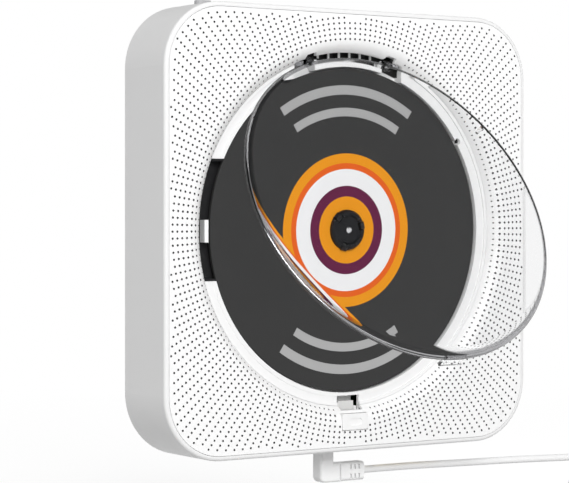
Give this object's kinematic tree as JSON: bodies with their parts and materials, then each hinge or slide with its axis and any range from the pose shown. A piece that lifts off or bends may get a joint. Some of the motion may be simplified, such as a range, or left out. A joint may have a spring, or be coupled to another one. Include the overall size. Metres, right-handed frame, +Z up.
{
  "type": "wall mounted disc player",
  "caption": "Wall-hung compact disc player: white square case with a round well, a clear lid held open, front speakers behind a grille and a cord.",
  "frame": {"origin": "centre of the case's back face, on the wall plane", "axes": "+X to the right seen from the front, -Y out of the wall (front), +Z up"},
  "size_m": [0.2463, 0.0907, 0.2221],
  "materials": {
    "white_case": "satin",
    "white_front": "satin",
    "white_key": "gloss",
    "grey_key": "gloss",
    "inner_plastic": "matte",
    "clear": "gloss",
    "pad": "matte",
    "damper": "matte",
    "screw": "satin",
    "steel": "satin",
    "spring_steel": "satin",
    "recess_grey": "matte",
    "black_plastic": "satin",
    "disc": "satin",
    "hub_black": "satin",
    "clip_plastic": "gloss",
    "motor_can": "satin",
    "frame_black": "matte",
    "gear_plastic": "satin",
    "sled_black": "matte",
    "lens_glass": "gloss",
    "board": "satin",
    "window_dark": "gloss",
    "cone": "matte",
    "magnet": "matte",
    "cord_white": "satin"
  },
  "bodies": {
    "case": {"main_housing": "white_case", "rear_cover": "white_case", "front_grille": "white_front", "disc_tray": "white_front", "wall_pads": "pad", "cover_screws": "screw", "tray_screws": "screw", "finger_recess": "recess_grey", "recess_tab": "white_front", "hinge_pins": "steel", "lid_springs": "spring_steel", "latch_spring": "spring_steel", "lid_switch": "black_plastic", "spindle_motor": "motor_can", "drive_frame": "frame_black", "dampers": "damper", "guide_rods": "steel", "feed_motor": "motor_can", "main_board": "board", "dc_jack": "black_plastic", "aux_jack": "black_plastic", "usb_port": "steel", "display_window": "window_dark", "display_module": "black_plastic", "ir_receiver": "black_plastic", "button_board": "board", "tact_switches": "black_plastic", "speaker_baskets": "motor_can", "speaker_cones": "cone", "speaker_magnets": "magnet", "dc_plug": "cord_white", "strain_relief": "cord_white", "cord": "cord_white", "cord_coil": "cord_white", "coil_tie": "damper", "usb_plug": "cord_white", "usb_plug_shell": "steel"},
    "lid": {"clear_lid": "clear"},
    "turntable": {"turntable_hub": "hub_black", "hub_clips": "clip_plastic", "spindle_shaft": "steel", "compact_disc": "disc"},
    "open_key": {"open_button": "white_key"},
    "latch": {"latch_slider": "inner_plastic"},
    "switch_pin": {"lid_switch_plunger": "white_key"},
    "sled": {"pickup_sled": "sled_black", "lens_holder": "black_plastic", "objective_lens": "lens_glass"},
    "wheel": {"feed_gear": "gear_plastic"},
    "pinion": {"feed_pinion": "gear_plastic"},
    "key_power": {"power_button": "grey_key"},
    "key_1": {"top_button_1": "white_key"},
    "key_2": {"top_button_2": "white_key"},
    "key_3": {"top_button_3": "white_key"},
    "key_4": {"top_button_4": "white_key"}
  },
  "joints": [
    {"name": "lid_hinge", "type": "hinge", "parent": "case", "child": "lid", "pos_m": [0, -0.023, 0.0618], "axis": [1, 0, 0], "range_deg": [0, 31], "stiffness_Nm_per_rad": 0.02, "springref_deg": -91.67},
    {"name": "turntable_spin", "type": "hinge", "parent": "case", "child": "turntable", "pos_m": [0, -0.0222, 0], "axis": [0, -1, 0], "continuous": true},
    {"name": "open_button_press", "type": "slide", "parent": "case", "child": "open_key", "axis": [0, 1, 0], "range_m": [0, 0.0012], "stiffness_N_per_m": 100},
    {"name": "latch_slide", "type": "slide", "parent": "case", "child": "latch", "axis": [0, 0, -1], "range_m": [0, 0.0012], "stiffness_N_per_m": 100, "deforming": ["latch_spring"]},
    {"name": "lid_switch_press", "type": "slide", "parent": "case", "child": "switch_pin", "axis": [0, 1, 0], "range_m": [0, 0.0007], "stiffness_N_per_m": 60},
    {"name": "sled_travel", "type": "slide", "parent": "case", "child": "sled", "axis": [1, 0, 0], "range_m": [0, 0.033]},
    {"name": "feed_gear_turn", "type": "hinge", "parent": "case", "child": "wheel", "pos_m": [0.014, -0.0155, 0.0165], "axis": [0, -1, 0], "range_deg": [0, 631]},
    {"name": "feed_pinion_turn", "type": "hinge", "parent": "case", "child": "pinion", "pos_m": [0.00857, -0.0165, 0.02994], "axis": [0, -1, 0], "range_deg": [-3028, 0]},
    {"name": "power_button_press", "type": "slide", "parent": "case", "child": "key_power", "axis": [0, 0, -1], "range_m": [0, 0.0006], "stiffness_N_per_m": 200},
    {"name": "top_button_1_press", "type": "slide", "parent": "case", "child": "key_1", "axis": [0, 0, -1], "range_m": [0, 0.0006], "stiffness_N_per_m": 200},
    {"name": "top_button_2_press", "type": "slide", "parent": "case", "child": "key_2", "axis": [0, 0, -1], "range_m": [0, 0.0006], "stiffness_N_per_m": 200},
    {"name": "top_button_3_press", "type": "slide", "parent": "case", "child": "key_3", "axis": [0, 0, -1], "range_m": [0, 0.0006], "stiffness_N_per_m": 200},
    {"name": "top_button_4_press", "type": "slide", "parent": "case", "child": "key_4", "axis": [0, 0, -1], "range_m": [0, 0.0006], "stiffness_N_per_m": 200}
  ],
  "couplings": [
    {"joint": "latch_slide", "follows": "open_button_press", "ratio": 1},
    {"joint": "feed_gear_turn", "follows": "sled_travel", "rad_per_m": 333.33},
    {"joint": "feed_pinion_turn", "follows": "sled_travel", "rad_per_m": -1600}
  ]
}
